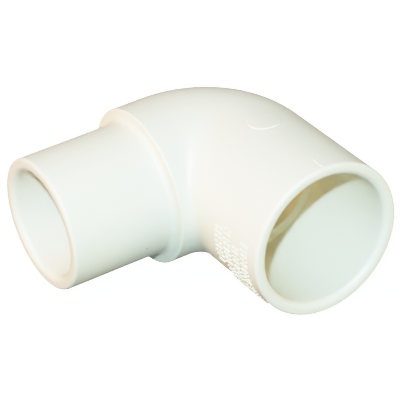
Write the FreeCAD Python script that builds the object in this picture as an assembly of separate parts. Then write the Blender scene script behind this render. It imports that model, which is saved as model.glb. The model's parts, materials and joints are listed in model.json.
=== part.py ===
"""One-inch 90 degree street elbow in Schedule 40 PVC: a spigot end, a bend and a socket end.

Millimetres. The shapes are drawn about the point where the two centrelines cross. The spigot runs out
along -X, the socket opens along -Y and +Z is up. Export moves them so that the origin is the centre of
the socket's pipe stop, where the end of a fully inserted pipe rests.

The real fitting is one moulding. Each function below makes one zone of it as a closed solid, and the
zones meet face to face.
"""
import FreeCAD, Part
import math
import os

# Pipe connections
SPIGOT_R = 16.70                # outside of 1 in pipe
WATERWAY_R = 13.30              # inside of Schedule 40 pipe
SOCKET_R = 16.73                # mean of the socket's entrance and its bottom
SOCKET_DEPTH = 28.58            # 1-1/8 in, from the mouth to the pipe stop
STOP_BORE_R = 14.20             # opening through the pipe stop
STOP_BORE_LENGTH = 2.50         # past it the opening narrows to the waterway
SPIGOT_LENGTH = 27.50           # from the shoulder to the end

# Body
OUTER_R = 19.90                 # outside of the bend, its collars and the hub
BEND_R = 13.50                  # centreline of the bend
CROSSING_TO_STOP = 18.26
CROSSING_TO_COLLAR = 22.86      # both collars of the bend end here; the spigot's is the shoulder

# Inner corner of the bend, where the two collars would meet in a crease
CORNER_R = 2.10                 # the limit that its radius shrinks towards
CORNER_BLEND = 13.00            # how gradually it widens into the bend's own curve

# Edges
SPIGOT_END_ROUND = 0.90
SPIGOT_INNER_ROUND = 1.50
SHOULDER_ROUND = 0.45
FOOT_FILLET = 1.40              # in the corner between the shoulder and the spigot
MOUTH_OUTER_ROUND = 0.90
MOUTH_INNER_ROUND = 1.60        # leads the pipe in

# Rows of raised marking bars on the side of the hub that faces the spigot
BAR_HEIGHT = 0.40
BAR_LENGTH = 2.60               # along the hub
BAR_WIDTHS = (0.50, 1.10, 0.50, 0.80)
BAR_GAP = 0.60
BAR_PIECES = (1, 2, 3)          # how many pieces each bar in turn is cut into
BAR_CUT = 0.45                  # gap between the pieces of a bar
BAR_ROWS = ((-18, 12), (-46, 15), (-50, 6), (-44, 14))  # degrees round the hub from -X, up towards +Z
BAR_ROW_PITCH = 3.50
BAR_FIRST_ROW = 12.80           # from the pipe stop to the middle of the first row

# Raised disc and short flash line on top of the hub
DISC_R = 4.10
DISC_HEIGHT = 0.20
DISC_X = 0.90
DISC_FROM_STOP = 2.30
FLASH_WIDTH = 0.50
FLASH_HEIGHT = 0.15
FLASH_LENGTH = 4.00

# Fineness of the net of points that draws the skin of the bend
ROUND_STEPS = 72
STRAIGHT_STEPS = 6
ARC_STEPS = 18
CUBIC = 3

# Worked out from the above
STOP_Y = -CROSSING_TO_STOP
MOUTH_Y = STOP_Y - SOCKET_DEPTH
COLLAR = -CROSSING_TO_COLLAR
SPIGOT_END_X = COLLAR - SPIGOT_LENGTH
THROUGH = 10.00                 # how far a cutting tool runs past the face it opens
FLAT = 1e-3                     # an edge no wider than this along an axis lies square to it
ROUGHLY = 1.00                  # rims whose lengths differ by less than this are the same rim

ALONG_X = FreeCAD.Vector(1, 0, 0)
ALONG_Y = FreeCAD.Vector(0, 1, 0)
ALONG_Z = FreeCAD.Vector(0, 0, 1)
BEND_AXIS = FreeCAD.Vector(-BEND_R, -BEND_R, 0)
TO_ORIGIN = FreeCAD.Vector(0, CROSSING_TO_STOP, 0)


def x_cylinder(radius, x_low, x_high):
    return Part.makeCylinder(radius, x_high - x_low, FreeCAD.Vector(x_low, 0, 0), ALONG_X)


def y_cylinder(radius, y_low, y_high):
    return Part.makeCylinder(radius, y_high - y_low, FreeCAD.Vector(0, y_low, 0), ALONG_Y)


def round_rim(solid, axis, place, rim_radius, radius):
    """Round the circular edge of rim_radius that lies square to the axis, "x" or "y", at this place."""
    for edge in solid.Edges:
        box = edge.BoundBox
        low, width = (box.XMin, box.XLength) if axis == "x" else (box.YMin, box.YLength)
        lies_there = width < FLAT and abs(low - place) < FLAT
        if lies_there and abs(edge.Length - 2 * math.pi * rim_radius) < ROUGHLY:
            return solid.makeFillet(radius, [edge])
    raise ValueError("no such rim")


def path_radius(offset):
    """Radius of the bend for the line on the skin at this offset from the centreline, outwards positive.

    On the outer half of the skin it is the plain radius of the bend. On the inner half it shrinks more
    and more slowly, so the two collars meet in a fillet that widens above and below its middle.
    """
    plain = BEND_R + offset
    excess = plain - CORNER_R
    if excess >= CORNER_BLEND:
        return plain
    return CORNER_R + (excess + CORNER_BLEND) ** 2 / (4 * CORNER_BLEND)


def skin_line(offset, height):
    """Net points of one line along the skin: spigot collar, bend, socket collar."""
    radius = path_radius(offset)
    centre = offset - radius
    points = []
    for step in range(STRAIGHT_STEPS):
        x = COLLAR + (centre - COLLAR) * step / STRAIGHT_STEPS
        points.append(FreeCAD.Vector(x, offset, height))
    for step in range(ARC_STEPS + 1):
        turn = math.pi / 2 * step / ARC_STEPS
        x = centre + radius * math.sin(turn)
        y = centre + radius * math.cos(turn)
        points.append(FreeCAD.Vector(x, y, height))
    for step in range(1, STRAIGHT_STEPS + 1):
        y = centre + (COLLAR - centre) * step / STRAIGHT_STEPS
        points.append(FreeCAD.Vector(offset, y, height))
    return points


def bend_skin_solid():
    """Everything inside the skin of the bend and its collars, with no hollow yet."""
    step_angle = 2 * math.pi / ROUND_STEPS
    # A cubic spline runs a little inside a ring of net points, so the ring is that much larger.
    net_r = OUTER_R * 3 / (2 + math.cos(step_angle))
    net = []
    for step in range(ROUND_STEPS):
        angle = step_angle * step
        net.append(skin_line(net_r * math.cos(angle), net_r * math.sin(angle)))
    spans = len(net[0]) - CUBIC
    round_mults = [1] * (ROUND_STEPS + 1)
    along_mults = [CUBIC + 1] + [1] * (spans - 1) + [CUBIC + 1]
    round_knots = list(range(ROUND_STEPS + 1))
    along_knots = list(range(spans + 1))
    surface = Part.BSplineSurface()
    surface.buildFromPolesMultsKnots(net, round_mults, along_mults, round_knots, along_knots,
                                     True, False, CUBIC, CUBIC)
    side = surface.toShape()
    faces = [side]
    for edge in side.Edges:
        box = edge.BoundBox
        if min(box.XLength, box.YLength) < FLAT:
            faces.append(Part.Face(Part.Wire([edge])))
    skin = Part.makeCompound(faces)
    skin.sewShape()
    return Part.Solid(skin.Shells[0])


def bend_waterway():
    """The hollow of the bend: pipe bore in, a quarter turn, then wider out through the pipe stop."""
    section = Part.Face(Part.Wire([Part.makeCircle(WATERWAY_R, FreeCAD.Vector(0, -BEND_R, 0), ALONG_Y)]))
    turn = section.revolve(BEND_AXIS, ALONG_Z, 90)
    bore_in = x_cylinder(WATERWAY_R, COLLAR - THROUGH, -BEND_R)
    widest = FreeCAD.Vector(0, STOP_Y + STOP_BORE_LENGTH, 0)
    widening = Part.makeCone(STOP_BORE_R, WATERWAY_R, -BEND_R - widest.y, widest, ALONG_Y)
    bore_out = y_cylinder(STOP_BORE_R, STOP_Y - THROUGH, widest.y)
    return turn.fuse([bore_in, widening, bore_out]).removeSplitter()


def elbow_body():
    """The bend with its shoulder on the spigot side and the pipe stop on the socket side."""
    body = round_rim(bend_skin_solid(), "x", COLLAR, OUTER_R, SHOULDER_ROUND)
    body = body.cut(bend_waterway())
    return body.cut(y_cylinder(SOCKET_R, COLLAR - THROUGH, STOP_Y))


def spigot():
    """The plain end, the size of the pipe, that glues into a socket, with a fillet at its foot."""
    tube = x_cylinder(SPIGOT_R, SPIGOT_END_X, COLLAR)
    shoulder = x_cylinder(OUTER_R, COLLAR, COLLAR + THROUGH)
    tube = round_rim(tube.fuse(shoulder), "x", COLLAR, SPIGOT_R, FOOT_FILLET).cut(shoulder)
    tube = tube.cut(x_cylinder(WATERWAY_R, SPIGOT_END_X - THROUGH, COLLAR + THROUGH))
    tube = round_rim(tube, "x", SPIGOT_END_X, SPIGOT_R, SPIGOT_END_ROUND)
    return round_rim(tube, "x", SPIGOT_END_X, WATERWAY_R, SPIGOT_INNER_ROUND)


def socket_hub():
    """The sleeve that the pipe glues into, from the bend's collar to the mouth."""
    tube = y_cylinder(OUTER_R, MOUTH_Y, COLLAR)
    tube = tube.cut(y_cylinder(SOCKET_R, MOUTH_Y - THROUGH, COLLAR + THROUGH))
    tube = round_rim(tube, "y", MOUTH_Y, OUTER_R, MOUTH_OUTER_ROUND)
    return round_rim(tube, "y", MOUTH_Y, SOCKET_R, MOUTH_INNER_ROUND)


def raised_layer(height, y_low, y_high):
    """A thin sleeve of this height on the outside of the hub."""
    return y_cylinder(OUTER_R + height, y_low, y_high).cut(y_cylinder(OUTER_R, y_low, y_high))


def hub_patch(height, from_angle, to_angle, y_low, y_high):
    """A low raised patch on the hub; angles are from -X, up towards +Z."""
    reach = 2 * OUTER_R
    corners = [FreeCAD.Vector(0, y_low, 0)]
    for angle in (from_angle, to_angle):
        corners.append(FreeCAD.Vector(-reach * math.cos(angle), y_low, reach * math.sin(angle)))
    corners.append(corners[0])
    wedge = Part.Face(Part.makePolygon(corners)).extrude(FreeCAD.Vector(0, y_high - y_low, 0))
    return raised_layer(height, y_low, y_high).common(wedge)


def bar_pieces(from_angle, to_angle, y_low, count):
    """One bar along the hub, cut into this many equal pieces."""
    length = (BAR_LENGTH - BAR_CUT * (count - 1)) / count
    pieces = []
    for number in range(count):
        low = y_low + (length + BAR_CUT) * number
        pieces.append(hub_patch(BAR_HEIGHT, from_angle, to_angle, low, low + length))
    return pieces


def marking_bars():
    """Plain raised bars, whole or in pieces, set in rows round the hub like lines of moulded marking."""
    bars = []
    for row, (first_degrees, last_degrees) in enumerate(BAR_ROWS):
        low = STOP_Y - BAR_FIRST_ROW - BAR_ROW_PITCH * row - BAR_LENGTH / 2
        angle = math.radians(first_degrees)
        column = row
        while True:
            width = BAR_WIDTHS[column % len(BAR_WIDTHS)] / OUTER_R
            if angle + width > math.radians(last_degrees):
                break
            bars += bar_pieces(angle, angle + width, low, BAR_PIECES[column % len(BAR_PIECES)])
            angle += width + BAR_GAP / OUTER_R
            column += 1
    return Part.makeCompound(bars)


def moulded_disc():
    """A low plain disc on top, beside the middle line."""
    y = STOP_Y - DISC_FROM_STOP
    disc = Part.makeCylinder(DISC_R, 2 * OUTER_R, FreeCAD.Vector(DISC_X, y, 0), ALONG_Z)
    return disc.common(raised_layer(DISC_HEIGHT, y - DISC_R, y + DISC_R))


def flash_line():
    """A short raised line left by the mould on top of the hub, ending at the mouth's rounded edge."""
    half = FLASH_WIDTH / OUTER_R / 2
    top = math.pi / 2
    low = MOUTH_Y + MOUTH_OUTER_ROUND
    return hub_patch(FLASH_HEIGHT, top - half, top + half, low, low + FLASH_LENGTH)


def main():
    os.makedirs("parts", exist_ok=True)
    nodes = {
        "spigot": spigot(),
        "elbow_body": elbow_body(),
        "socket_hub": socket_hub(),
        "marking_bars": marking_bars(),
        "moulded_disc": moulded_disc(),
        "flash_line": flash_line(),
    }
    for name, shape in nodes.items():
        shape.translate(TO_ORIGIN)
        print(name, shape.isValid(), len(shape.Solids), round(shape.Volume, 1))
        shape.exportStep("parts/" + name + ".step")


main()
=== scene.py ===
"""A one inch 90 degree PVC street elbow lying on a pale floor in a bright studio.

Everything is in metres, in the frame of the CAD part: the socket opens along -Y, the spigot runs out
along -X, and the origin is the centre of the socket's pipe stop. The moulding is drawn as three zones
that meet face to face, the same as in the frame, with its small raised marks on top of them.
"""
import json
import math
import bmesh
import bpy
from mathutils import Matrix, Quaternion, Vector, noise


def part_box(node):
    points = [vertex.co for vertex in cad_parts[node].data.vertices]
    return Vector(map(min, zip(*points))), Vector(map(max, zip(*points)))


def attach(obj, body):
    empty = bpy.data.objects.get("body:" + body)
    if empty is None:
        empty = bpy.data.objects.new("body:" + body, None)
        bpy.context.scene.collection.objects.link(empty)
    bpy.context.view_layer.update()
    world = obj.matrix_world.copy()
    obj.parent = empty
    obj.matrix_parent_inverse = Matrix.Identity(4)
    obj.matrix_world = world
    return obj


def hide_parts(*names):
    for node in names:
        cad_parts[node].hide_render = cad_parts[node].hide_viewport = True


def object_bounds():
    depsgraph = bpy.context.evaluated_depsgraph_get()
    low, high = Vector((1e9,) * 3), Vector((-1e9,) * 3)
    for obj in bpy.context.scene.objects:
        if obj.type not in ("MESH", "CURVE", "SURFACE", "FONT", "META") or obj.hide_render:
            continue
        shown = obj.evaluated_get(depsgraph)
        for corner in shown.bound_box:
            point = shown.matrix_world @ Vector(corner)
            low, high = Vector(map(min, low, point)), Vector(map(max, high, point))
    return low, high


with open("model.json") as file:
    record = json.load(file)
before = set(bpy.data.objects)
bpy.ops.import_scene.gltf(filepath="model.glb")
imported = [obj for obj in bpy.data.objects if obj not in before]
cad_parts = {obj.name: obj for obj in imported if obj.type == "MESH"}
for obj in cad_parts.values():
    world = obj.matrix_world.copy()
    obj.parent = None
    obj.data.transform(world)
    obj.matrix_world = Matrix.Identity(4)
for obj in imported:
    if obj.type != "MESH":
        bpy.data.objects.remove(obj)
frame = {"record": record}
CAD_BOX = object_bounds()

MM = 0.001
TURN = 2 * math.pi

# Places and sizes from the frame
MOUNTS = {mount["name"]: mount for mount in frame["record"]["mounts"]}
SPIGOT_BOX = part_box("spigot")
BODY_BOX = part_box("elbow_body")
HUB_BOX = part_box("socket_hub")
BARS_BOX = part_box("marking_bars")
DISC_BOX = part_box("moulded_disc")
FLASH_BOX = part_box("flash_line")
SOCKET_R = MOUNTS["socket"]["dims"]["r_mm"] * MM
SPIGOT_R = MOUNTS["spigot"]["dims"]["r_mm"] * MM
WATERWAY_R = MOUNTS["spigot_waterway"]["dims"]["r_mm"] * MM
STOP_BORE_R = MOUNTS["socket_waterway"]["dims"]["r_mm"] * MM
STOP_BORE_LENGTH = MOUNTS["socket_waterway"]["dims"]["length_mm"] * MM
OUTER_R = (HUB_BOX[1].x - HUB_BOX[0].x) / 2
CROSSING_Y = MOUNTS["spigot"]["pos_m"][1]
STOP_Y = MOUNTS["socket"]["pos_m"][1]
SHOULDER_X = BODY_BOX[0].x
SPIGOT_END_X = SPIGOT_BOX[0].x
COLLAR_Y = HUB_BOX[1].y
MOUTH_Y = HUB_BOX[0].y
CROSSING = Vector((0, CROSSING_Y, 0))

# The bend
BEND_R = 13.50 * MM
CORNER_R = 2.10 * MM
CORNER_BLEND = 13.00 * MM

# Rounded edges
SPIGOT_END_ROUND = 0.90 * MM
SPIGOT_INNER_ROUND = 1.50 * MM
SHOULDER_ROUND = 0.45 * MM
MOUTH_OUTER_ROUND = 0.90 * MM
MOUTH_INNER_ROUND = 1.60 * MM
STOP_EDGE_ROUND = 0.30 * MM
STOP_FILLET = 0.20 * MM         # in the corner between the ledge and the socket's wall
FOOT_FILLET = 1.40 * MM

# Raised marks
BAR_LENGTH = 2.60 * MM          # along the hub
BAR_WIDTHS = (0.50 * MM, 1.10 * MM, 0.50 * MM, 0.80 * MM)
BAR_GAP = 0.60 * MM
BAR_PIECES = (1, 2, 3)          # how many pieces each bar in turn is cut into
BAR_CUT = 0.45 * MM
BAR_ROWS = ((-18, 12), (-46, 15), (-50, 6), (-44, 14))  # degrees round the hub from -X, up towards +Z
ROOT = 0.06 * MM                # how deep the foot of a mark sits in the wall
MARK_PROFILE = ((0.25, 0.00), (0.55, 0.10), (0.78, 0.26), (0.93, 0.50), (1.00, 0.78))  # height, narrowing
MARK_SQUARENESS = 0.5           # 1 is an ellipse, 0 a rectangle
DISC_FOOT = (0.50, 1.00)        # shares of the radius that its foot covers
DISC_PROFILE = ((1.00, 0.20), (0.99, 0.50), (0.97, 0.78), (0.94, 0.94), (0.90, 1.00), (0.70, 1.00),
                (0.45, 1.00), (0.20, 1.00))  # shares of the radius and of the height

# A moulded wall is never quite true: how far it sinks, and over what distance
SINK = 0.035 * MM
SINK_SPACING = 9.0 * MM
SINK_FINER = 2.3                # a second, finer drift, and its share beside the first
SINK_FINER_SHARE = 0.5

# Fineness of the meshes
AROUND = 256
SPACING = 0.50 * MM
ROUND_STEPS = 8
STRAIGHT_STEPS = 18
ARC_STEPS = 110
MARK_AROUND = 28
DISC_AROUND = 120
SHARP = math.radians(28)

# The plastic
PVC_WARM = (0.905, 0.850, 0.690, 1.0)
PVC_COOL = (0.900, 0.855, 0.715, 1.0)
PVC_PALE = (0.915, 0.870, 0.740, 1.0)
SPECK = (0.30, 0.25, 0.17, 1.0)
PVC_IOR = 1.53
GLOSS = (0.34, 0.46)            # roughness where the gloss is best and worst

# Patterns in the plastic: how many to a metre, the noise values they run between, and how deep or
# strong they are
FLOW_SCALE = 48.0
FLOW_RANGE = (0.20, 0.80)
CLOUD_SCALE = 420.0
CLOUD_RANGE = (0.30, 0.75)
CLOUD_SHARE = 0.35
SPECK_SCALE = 330.0
SPECK_EDGE = (0.05, 0.11)
SPECK_CHANCE = (0.955, 0.965)
SPECK_SHARE = 0.75
HAZE_SCALE = 160.0
HAZE_RANGE = (0.30, 0.70)
GRAIN_SCALE = 2600.0
GRAIN_DEPTH = 0.004 * MM
RIPPLE_SCALE = 260.0
RIPPLE_DEPTH = 0.030 * MM
BUMP_STRENGTH = 0.6

# The studio
FLOOR_REACH = 3.0
FLOOR_TONE = (0.90, 0.90, 0.89, 1.0)
FLOOR_LIGHT = (0.93, 0.93, 0.92, 1.0)
FLOOR_SCALE = 9.0
FLOOR_ROUGHNESS = 0.9
FLOOR_SHINE = 0.1
FLOOR_GLOW = 6.5
# Not chosen by hand, but a program's fit to the photograph, rounded: the air's colour and strength, the
# key's direction, the powers and colours of the first seven lamps, and the film's top and contrast below
AIR_COLOUR = (0.76, 0.90, 1.0, 1.0)
AIR_STRENGTH = 0.39
LAMP_DISTANCE = 0.60
# Each lamp's name, azimuth, elevation, size, power and colour, whether it lights the plastic's body colour,
# and whether its gloss shows it
LAMPS = (
    ("key", -34.0, 37.5, 0.02, 7.2, (0.57, 0.85, 1.0), True, True),
    ("left_low", -100.0, 12.0, 0.20, 2.2, (1.0, 0.53, 0.24), True, True),
    ("left_high", -100.0, 50.0, 0.20, 1.5, (1.0, 0.53, 0.17), True, False),
    ("left_behind", -130.0, 25.0, 0.20, 0.85, (1.0, 0.53, 0.65), True, False),
    ("right_low", 25.0, 10.0, 0.20, 1.0, (1.0, 0.72, 0.18), True, False),
    ("right_side", 70.0, 8.0, 0.20, 1.0, (1.0, 0.55, 0.14), True, False),
    ("front_low", -15.0, 5.0, 0.20, 0.6, (1.0, 0.93, 0.37), True, False),
    ("behind_high", 150.0, 35.0, 0.20, 0.5, (0.95, 1.0, 0.85), True, False),
    ("behind_low", 130.0, 12.0, 0.20, 0.5, (0.95, 1.0, 0.85), True, False),
    ("sheen", -34.0, 62.0, 0.25, 6.0, (0.90, 0.95, 1.0), False, True),
)

# The film: how bright tones level out just under white, and the levels at which its curve is drawn
FILM_TOP = 0.97
FILM_CONTRAST = 1.33
FILM_REACH = 8.0
FILM_LEVELS = (0.05, 0.12, 0.25, 0.45, 0.70, 1.00, 1.40, 1.90, 2.60, 3.60, 5.00)
ALL_COLOURS = 3                 # the curve that all three colours share

# The camera, by its direction from the object
VIEW_AZIMUTH = -30.7
VIEW_ELEVATION = 33.1
VIEW_ROLL = -3.8
VIEW_DISTANCE = 0.578
VIEW_LENS = 211.0
VIEW_SENSOR = 36.0
AIM_FROM_CROSSING = Vector((-7.2, -2.4, -8.9)) * MM


# Meshes

def add_object(name, points, faces):
    """An object with smooth shading, true corners kept sharp, and its faces turned outwards."""
    mesh = bpy.data.meshes.new(name)
    mesh.from_pydata(points, [], faces)
    work = bmesh.new()
    work.from_mesh(mesh)
    bmesh.ops.recalc_face_normals(work, faces=work.faces)
    work.to_mesh(mesh)
    work.free()
    mesh.shade_smooth()
    mesh.set_sharp_from_angle(angle=SHARP)
    piece = bpy.data.objects.new(name, mesh)
    bpy.context.scene.collection.objects.link(piece)
    return piece


def loop_faces(rings, around, first=0):
    """Faces between neighbouring rings of points, each ring a closed loop."""
    faces = []
    for row in range(rings - 1):
        here = first + row * around
        there = here + around
        for column in range(around):
            beside = (column + 1) % around
            faces.append((here + column, here + beside, there + beside, there + column))
    return faces


def closed_loft(name, rings):
    """A closed skin through rings of points, the last ring joined to the first."""
    around = len(rings[0])
    points = [point for ring in rings for point in ring]
    faces = loop_faces(len(rings), around)
    last = (len(rings) - 1) * around
    for column in range(around):
        beside = (column + 1) % around
        faces.append((last + column, last + beside, beside, column))
    return add_object(name, points, faces)


def spread(low, high, spacing=SPACING):
    """Even steps from low to high, both included."""
    count = max(1, round(abs(high - low) / spacing))
    return [low + (high - low) * step / count for step in range(count + 1)]


def sunk(point, outwards):
    """The point moved slightly into the wall, by an amount that drifts smoothly over the surface."""
    drift = noise.noise(point / SINK_SPACING)
    drift += SINK_FINER_SHARE * noise.noise(point / SINK_SPACING * SINK_FINER)
    depth = SINK * min(1.0, max(0.0, (1 + drift) / 2))
    return point - outwards * depth


def angles():
    return [TURN * step / AROUND for step in range(AROUND)]


def x_ring(x, radius, side=1):
    """A ring about the spigot's axis; side is 1 on an outer skin, -1 in a bore and 0 on a plain face."""
    ring = []
    for angle in angles():
        outwards = Vector((0, math.cos(angle), math.sin(angle)))
        ring.append(sunk(Vector((x, CROSSING_Y, 0)) + outwards * radius, outwards * side))
    return ring


def y_ring(y, radius, side=1):
    """A ring about the socket's axis; side is 1 on an outer skin, -1 in a bore and 0 on a plain face."""
    ring = []
    for angle in angles():
        outwards = Vector((math.cos(angle), 0, math.sin(angle)))
        ring.append(sunk(Vector((0, y, 0)) + outwards * radius, outwards * side))
    return ring


def quarter(make_ring, place, rim_radius, along, across, radius):
    """Rings of a rounded rim, starting on the face at this place and ending on the wall.

    along is the way from the face into the part, 1 or -1 on the axis, and across is 1 where the wall
    lies outside the face's edge and -1 where it lies inside it.
    """
    rings = []
    for step in range(ROUND_STEPS + 1):
        turn = math.pi / 2 * step / ROUND_STEPS
        inset = radius * (1 - math.sin(turn))
        depth = radius * (1 - math.cos(turn))
        rings.append(make_ring(place + along * depth, rim_radius - across * inset, across))
    return rings


def skin_path(offset):
    """Bend radius of the skin's line at this offset from the centreline, outwards positive.

    It is the plain radius on the outer half of the skin and shrinks more and more slowly on the inner half.
    """
    excess = BEND_R + offset - CORNER_R
    if excess >= CORNER_BLEND:
        return BEND_R + offset
    return CORNER_R + (excess + CORNER_BLEND) ** 2 / (4 * CORNER_BLEND)


def waterway_path(offset):
    return BEND_R + offset


def bend_ring(step, radius, path, start_x, end_y, side):
    """One ring round the bend: straight from start_x, a quarter turn, then straight to end_y."""
    ring = []
    for angle in angles():
        offset = radius * math.cos(angle)
        line_r = path(offset)
        centre = offset - line_r
        if step <= STRAIGHT_STEPS:
            turn = 0.0
            x = start_x + (centre - start_x) * step / STRAIGHT_STEPS
            y = offset
        elif step <= STRAIGHT_STEPS + ARC_STEPS:
            turn = math.pi / 2 * (step - STRAIGHT_STEPS) / ARC_STEPS
            x = centre + line_r * math.sin(turn)
            y = centre + line_r * math.cos(turn)
        else:
            turn = math.pi / 2
            x = offset
            y = centre + (end_y - centre) * (step - STRAIGHT_STEPS - ARC_STEPS) / STRAIGHT_STEPS
        in_plane = math.cos(angle)
        outwards = Vector((math.sin(turn) * in_plane, math.cos(turn) * in_plane, math.sin(angle)))
        point = CROSSING + Vector((x, y, radius * math.sin(angle)))
        ring.append(sunk(point, outwards * side))
    return ring


def bend_rings(radius, path, start_x, side, end_y=None):
    """Rings round the bend to the end of the quarter turn, and straight on where there is an end_y."""
    last = STRAIGHT_STEPS + ARC_STEPS
    if end_y is not None:
        last += STRAIGHT_STEPS
    return [bend_ring(step, radius, path, start_x, end_y, side) for step in range(last + 1)]


def foot_fillet():
    """Rings of the hollow corner between the shoulder and the spigot's wall."""
    rings = []
    for step in range(ROUND_STEPS + 1):
        turn = math.pi / 2 * step / ROUND_STEPS
        x = SHOULDER_X - FOOT_FILLET * (1 - math.cos(turn))
        rings.append(x_ring(x, SPIGOT_R + FOOT_FILLET * (1 - math.sin(turn))))
    return rings


def stop_fillet():
    """Rings of the hollow corner between the socket's wall and the pipe stop's ledge."""
    rings = []
    for step in range(1, ROUND_STEPS):
        turn = math.pi / 2 * step / ROUND_STEPS
        y = STOP_Y - STOP_FILLET * (1 - math.sin(turn))
        rings.append(y_ring(y, SOCKET_R - STOP_FILLET * (1 - math.cos(turn)), 0))
    return rings


def make_spigot():
    """The plain end: the size of the pipe, rounded at its rim, with a small fillet at its foot."""
    rings = foot_fillet()
    wall = spread(SHOULDER_X - FOOT_FILLET, SPIGOT_END_X + SPIGOT_END_ROUND)
    rings += [x_ring(x, SPIGOT_R) for x in wall[1:]]
    rings += quarter(x_ring, SPIGOT_END_X, SPIGOT_R, 1, 1, SPIGOT_END_ROUND)[-2::-1]
    face = spread(SPIGOT_R - SPIGOT_END_ROUND, WATERWAY_R + SPIGOT_INNER_ROUND)
    rings += [x_ring(SPIGOT_END_X, radius, 0) for radius in face[1:-1]]
    rings += quarter(x_ring, SPIGOT_END_X, WATERWAY_R, 1, -1, SPIGOT_INNER_ROUND)
    bore = spread(SPIGOT_END_X + SPIGOT_INNER_ROUND, SHOULDER_X)
    rings += [x_ring(x, WATERWAY_R, -1) for x in bore[1:]]
    return closed_loft("spigot_end", rings)


def stop_bore():
    """Rings of the opening through the pipe stop, which narrows to the waterway where the bend begins."""
    widest = STOP_Y + STOP_BORE_LENGTH
    rings = quarter(y_ring, STOP_Y, STOP_BORE_R, 1, -1, STOP_EDGE_ROUND)
    rings += [y_ring(y, STOP_BORE_R, -1) for y in spread(STOP_Y + STOP_EDGE_ROUND, widest)[1:]]
    narrowing = spread(widest, CROSSING_Y - BEND_R)
    for y in narrowing[1:-1]:
        share = (y - widest) / (narrowing[-1] - widest)
        rings.append(y_ring(y, STOP_BORE_R + (WATERWAY_R - STOP_BORE_R) * share, -1))
    return rings


def make_body():
    """The bend with its shoulder, its collar on the socket side, the pipe stop and the waterway."""
    shoulder = spread(WATERWAY_R, OUTER_R - SHOULDER_ROUND)
    rings = [x_ring(SHOULDER_X, radius, 0) for radius in shoulder[1:-1]]
    rings += quarter(x_ring, SHOULDER_X, OUTER_R, 1, 1, SHOULDER_ROUND)[:-1]
    rings += bend_rings(OUTER_R, skin_path, SHOULDER_X + SHOULDER_ROUND, 1, COLLAR_Y - CROSSING_Y)
    rings += [y_ring(y, SOCKET_R, -1) for y in spread(COLLAR_Y, STOP_Y - STOP_FILLET)]
    rings += stop_fillet()
    ledge = spread(SOCKET_R - STOP_FILLET, STOP_BORE_R + STOP_EDGE_ROUND)
    rings += [y_ring(STOP_Y, radius, 0) for radius in ledge[1:-1]]
    rings += stop_bore()
    rings += bend_rings(WATERWAY_R, waterway_path, SHOULDER_X, -1)[::-1]
    return closed_loft("elbow_bend", rings)


def make_hub():
    """The sleeve that the pipe glues into, from the bend's collar to the mouth."""
    rings = [y_ring(y, OUTER_R) for y in spread(COLLAR_Y, MOUTH_Y + MOUTH_OUTER_ROUND)]
    rings += quarter(y_ring, MOUTH_Y, OUTER_R, 1, 1, MOUTH_OUTER_ROUND)[-2::-1]
    face = spread(OUTER_R - MOUTH_OUTER_ROUND, SOCKET_R + MOUTH_INNER_ROUND)
    rings += [y_ring(MOUTH_Y, radius, 0) for radius in face[1:-1]]
    rings += quarter(y_ring, MOUTH_Y, SOCKET_R, 1, -1, MOUTH_INNER_ROUND)
    bore = spread(MOUTH_Y + MOUTH_INNER_ROUND, COLLAR_Y)
    rings += [y_ring(y, SOCKET_R, -1) for y in bore[1:]]
    return closed_loft("socket_sleeve", rings)


def hub_point(angle, y, height):
    """A point at this height over the hub's wall; the angle is from -X, up towards +Z."""
    radius = OUTER_R + height
    return Vector((-radius * math.cos(angle), y, radius * math.sin(angle)))


def add_cap(points, faces, first, around, centre):
    """Close a ring of points with a fan about this centre."""
    middle = len(points)
    points.append(centre)
    faces += [(first + step, first + (step + 1) % around, middle) for step in range(around)]


def squared(share):
    """A sine or cosine bent so that the ellipse it draws turns into a rounded rectangle."""
    return math.copysign(abs(share) ** MARK_SQUARENESS, share)


def add_mark(points, faces, angle, y, half_width, half_length, height):
    """One soft-edged raised mark: a rounded rectangle laid on the hub, narrowing towards its top."""
    profile = [(-ROOT, 0.0)] + [(share * height, narrowing) for share, narrowing in MARK_PROFILE]
    first = len(points)
    for level, narrowing in profile:
        inset = narrowing * min(half_width, half_length)
        for step in range(MARK_AROUND):
            turn = TURN * step / MARK_AROUND
            across = squared(math.cos(turn)) * (half_width - inset)
            along = squared(math.sin(turn)) * (half_length - inset)
            points.append(hub_point(angle + across / OUTER_R, y + along, level))
    faces += loop_faces(len(profile), MARK_AROUND, first)
    add_cap(points, faces, first, MARK_AROUND, hub_point(angle, y, -ROOT))
    add_cap(points, faces, first + (len(profile) - 1) * MARK_AROUND, MARK_AROUND, hub_point(angle, y, height))


def make_bars():
    """Plain raised bars, whole or cut into short pieces, in rows round the hub."""
    points, faces = [], []
    height = HUB_BOX[0].x - BARS_BOX[0].x
    first_low = BARS_BOX[1].y - BAR_LENGTH
    last_low = BARS_BOX[0].y
    for row, (first_degrees, last_degrees) in enumerate(BAR_ROWS):
        low = first_low + (last_low - first_low) * row / (len(BAR_ROWS) - 1)
        angle = math.radians(first_degrees)
        column = row
        while True:
            width = BAR_WIDTHS[column % len(BAR_WIDTHS)]
            if angle + width / OUTER_R > math.radians(last_degrees):
                break
            count = BAR_PIECES[column % len(BAR_PIECES)]
            length = (BAR_LENGTH - BAR_CUT * (count - 1)) / count
            for number in range(count):
                middle = low + (length + BAR_CUT) * number + length / 2
                add_mark(points, faces, angle + width / OUTER_R / 2, middle, width / 2, length / 2, height)
            angle += (width + BAR_GAP) / OUTER_R
            column += 1
    return add_object("raised_bars", points, faces)


def make_flash():
    """The short line that the mould leaves on top of the hub, next to its mouth."""
    points, faces = [], []
    low, high = FLASH_BOX
    half = (high - low) / 2
    add_mark(points, faces, math.pi / 2, (low.y + high.y) / 2, half.x, half.y, high.z - OUTER_R)
    return add_object("mould_line", points, faces)


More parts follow.
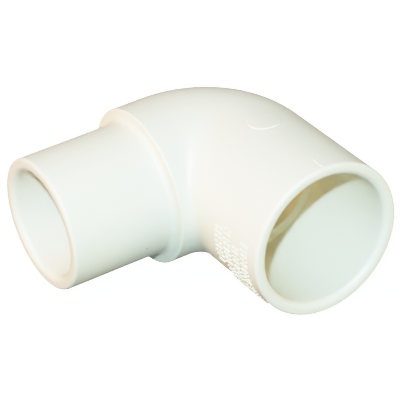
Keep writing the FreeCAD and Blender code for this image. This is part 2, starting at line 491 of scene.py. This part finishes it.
def make_disc():
    """The low plain disc on top, laid over the wall like the other marks."""
    low, high = DISC_BOX
    middle_x = (low.x + high.x) / 2
    middle_y = (low.y + high.y) / 2
    radius = (high.x - low.x) / 2
    height = high.z - OUTER_R
    profile = [(share, -ROOT) for share in DISC_FOOT]
    profile += [(share, level * height) for share, level in DISC_PROFILE]
    points = []
    for share, level in profile:
        for step in range(DISC_AROUND):
            turn = TURN * step / DISC_AROUND
            x = middle_x + share * radius * math.cos(turn)
            y = middle_y + share * radius * math.sin(turn)
            points.append(Vector((x, y, math.sqrt((OUTER_R + level) ** 2 - x * x))))
    faces = loop_faces(len(profile), DISC_AROUND)
    for first, level in ((0, -ROOT), ((len(profile) - 1) * DISC_AROUND, height)):
        centre_z = math.sqrt((OUTER_R + level) ** 2 - middle_x * middle_x)
        add_cap(points, faces, first, DISC_AROUND, Vector((middle_x, middle_y, centre_z)))
    return add_object("round_mark", points, faces)


# Materials

# Sockets of a Mix node that mixes colours
MIX_SHARE = 0
MIX_FIRST = 6
MIX_SECOND = 7
MIX_COLOUR = 2


def add_node(tree, kind, **settings):
    """A node with its own settings and the plain values of its inputs."""
    node = tree.nodes.new(kind)
    for name, value in settings.items():
        if hasattr(node, name):
            setattr(node, name, value)
        else:
            node.inputs[name].default_value = value
    return node


def noise_value(tree, place, scale, detail=2.0, distortion=0.0):
    node = add_node(tree, "ShaderNodeTexNoise", Scale=scale, Detail=detail, Distortion=distortion)
    tree.links.new(place, node.inputs["Vector"])
    return node.outputs["Fac"]


def remapped(tree, source, old_range, new_range):
    node = add_node(tree, "ShaderNodeMapRange")
    names = ("From Min", "From Max", "To Min", "To Max")
    for name, value in zip(names, old_range + new_range):
        node.inputs[name].default_value = value
    tree.links.new(source, node.inputs["Value"])
    return node.outputs["Result"]


def mixed(tree, share, first, second):
    """A colour between two, each of them a plain colour or another node's socket."""
    node = add_node(tree, "ShaderNodeMix", data_type="RGBA")
    tree.links.new(share, node.inputs[MIX_SHARE])
    for index, colour in ((MIX_FIRST, first), (MIX_SECOND, second)):
        if isinstance(colour, tuple):
            node.inputs[index].default_value = colour
        else:
            tree.links.new(colour, node.inputs[index])
    return node.outputs[MIX_COLOUR]


def bumped(tree, height, distance, normal=None):
    node = add_node(tree, "ShaderNodeBump", Distance=distance, Strength=BUMP_STRENGTH)
    tree.links.new(height, node.inputs["Height"])
    if normal is not None:
        tree.links.new(normal, node.inputs["Normal"])
    return node.outputs["Normal"]


def speck_share(tree, place):
    """How far each point lies in a dark speck: few of the cells that fill the plastic hold one."""
    cells = add_node(tree, "ShaderNodeTexVoronoi", Scale=SPECK_SCALE)
    tree.links.new(place, cells.inputs["Vector"])
    spot = remapped(tree, cells.outputs["Distance"], SPECK_EDGE, (1.0, 0.0))
    chance = tree.nodes.new("ShaderNodeSeparateColor")
    tree.links.new(cells.outputs["Color"], chance.inputs["Color"])
    rare = remapped(tree, chance.outputs["Red"], SPECK_CHANCE, (0.0, SPECK_SHARE))
    speck = add_node(tree, "ShaderNodeMath", operation="MULTIPLY")
    tree.links.new(spot, speck.inputs[0])
    tree.links.new(rare, speck.inputs[1])
    return speck.outputs["Value"]


def moulded_pvc():
    """White rigid PVC as it leaves the mould.

    Its colour drifts a little with the flow of the plastic, a few dark specks sit in it, its gloss is
    uneven, and the mould has left a fine grain and a slow ripple on it.
    """
    material = bpy.data.materials.new("moulded_white_pvc")
    material.use_nodes = True
    tree = material.node_tree
    shader = tree.nodes["Principled BSDF"]
    shader.inputs["IOR"].default_value = PVC_IOR
    place = tree.nodes.new("ShaderNodeTexCoord").outputs["Object"]
    flow = noise_value(tree, place, FLOW_SCALE, 1.0, 0.4)
    colour = mixed(tree, remapped(tree, flow, FLOW_RANGE, (0.0, 1.0)), PVC_COOL, PVC_WARM)
    cloud = noise_value(tree, place, CLOUD_SCALE, 4.0)
    colour = mixed(tree, remapped(tree, cloud, CLOUD_RANGE, (0.0, CLOUD_SHARE)), colour, PVC_PALE)
    colour = mixed(tree, speck_share(tree, place), colour, SPECK)
    tree.links.new(colour, shader.inputs["Base Color"])
    haze = noise_value(tree, place, HAZE_SCALE, 5.0, 0.6)
    tree.links.new(remapped(tree, haze, HAZE_RANGE, GLOSS), shader.inputs["Roughness"])
    grain = noise_value(tree, place, GRAIN_SCALE, 3.0)
    ripple = noise_value(tree, place, RIPPLE_SCALE, 2.0)
    normal = bumped(tree, ripple, RIPPLE_DEPTH)
    tree.links.new(bumped(tree, grain, GRAIN_DEPTH, normal), shader.inputs["Normal"])
    return material


def pale_floor():
    """A pale studio floor with a barely uneven tone."""
    material = bpy.data.materials.new("pale_floor")
    material.use_nodes = True
    tree = material.node_tree
    shader = tree.nodes["Principled BSDF"]
    place = tree.nodes.new("ShaderNodeTexCoord").outputs["Object"]
    tone = noise_value(tree, place, FLOOR_SCALE, 3.0)
    tree.links.new(mixed(tree, tone, FLOOR_TONE, FLOOR_LIGHT), shader.inputs["Base Color"])
    shader.inputs["Roughness"].default_value = FLOOR_ROUGHNESS
    shader.inputs["Specular IOR Level"].default_value = FLOOR_SHINE
    shader.inputs["Emission Color"].default_value = (1.0, 1.0, 1.0, 1.0)
    shader.inputs["Emission Strength"].default_value = FLOOR_GLOW
    return material


# The object

PIECES = (
    (make_spigot(), "spigot"),
    (make_body(), "elbow_body"),
    (make_hub(), "socket_hub"),
    (make_bars(), "marking_bars"),
    (make_disc(), "moulded_disc"),
    (make_flash(), "flash_line"),
)
PVC = moulded_pvc()
for piece, node_name in PIECES:
    piece.data.materials.append(PVC)
    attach(piece, "root")
    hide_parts(node_name)


# The floor

def add_floor():
    """A wide floor that shows as the pale background but casts no light or reflection on the object."""
    mesh = bpy.data.meshes.new("studio_floor")
    corners = [(-FLOOR_REACH, -FLOOR_REACH, 0), (FLOOR_REACH, -FLOOR_REACH, 0),
               (FLOOR_REACH, FLOOR_REACH, 0), (-FLOOR_REACH, FLOOR_REACH, 0)]
    mesh.from_pydata(corners, [], [(0, 1, 2, 3)])
    floor = bpy.data.objects.new("studio_floor", mesh)
    floor.location.z = CAD_BOX[0].z
    floor.data.materials.append(pale_floor())
    floor.visible_diffuse = False
    floor.visible_glossy = False
    bpy.context.scene.collection.objects.link(floor)


# Lights and camera

def direction(azimuth, elevation):
    """The way from the object to something seen at this azimuth and elevation; 0 is along -Y."""
    turn, tilt = math.radians(azimuth), math.radians(elevation)
    return Vector((math.sin(turn) * math.cos(tilt), -math.cos(turn) * math.cos(tilt), math.sin(tilt)))


def add_lamp(name, azimuth, elevation, size, power, colour, lights, shines):
    """A round soft lamp that faces the object."""
    lamp = bpy.data.lights.new(name, "AREA")
    lamp.shape = "DISK"
    lamp.size = size
    lamp.energy = power
    lamp.color = colour
    holder = bpy.data.objects.new(name, lamp)
    away = direction(azimuth, elevation)
    holder.location = CROSSING + away * LAMP_DISTANCE
    holder.rotation_mode = "QUATERNION"
    holder.rotation_quaternion = (-away).to_track_quat("-Z", "Y")
    holder.visible_diffuse = lights
    holder.visible_glossy = shines
    bpy.context.scene.collection.objects.link(holder)


def add_world():
    world = bpy.data.worlds.new("studio_air")
    world.use_nodes = True
    air = world.node_tree.nodes["Background"]
    air.inputs["Color"].default_value = AIR_COLOUR
    air.inputs["Strength"].default_value = AIR_STRENGTH
    bpy.context.scene.world = world


def add_camera():
    camera = bpy.data.objects.new("camera", bpy.data.cameras.new("camera"))
    camera.data.lens = VIEW_LENS
    camera.data.sensor_width = VIEW_SENSOR
    away = direction(VIEW_AZIMUTH, VIEW_ELEVATION)
    camera.location = CROSSING + AIM_FROM_CROSSING + away * VIEW_DISTANCE
    camera.rotation_mode = "QUATERNION"
    level = (-away).to_track_quat("-Z", "Y")
    camera.rotation_quaternion = level @ Quaternion((0, 0, 1), math.radians(VIEW_ROLL))
    bpy.context.scene.collection.objects.link(camera)
    bpy.context.scene.camera = camera


def film_tone(level):
    return FILM_TOP * (1 - math.exp(-level ** FILM_CONTRAST / FILM_TOP))


def set_film():
    """A soft shoulder like an overexposed camera's, in place of hard clipping."""
    settings = bpy.context.scene.view_settings
    settings.view_transform = "Standard"
    settings.use_curve_mapping = True
    mapping = settings.curve_mapping
    mapping.white_level = (FILM_REACH, FILM_REACH, FILM_REACH)
    tone = mapping.curves[ALL_COLOURS]
    tone.points[1].location = (1.0, 1.0)
    for level in FILM_LEVELS:
        tone.points.new(level / FILM_REACH, film_tone(level))
    mapping.update()


add_floor()
add_world()
for lamp_settings in LAMPS:
    add_lamp(*lamp_settings)
add_camera()
set_film()

bpy.context.view_layer.update()
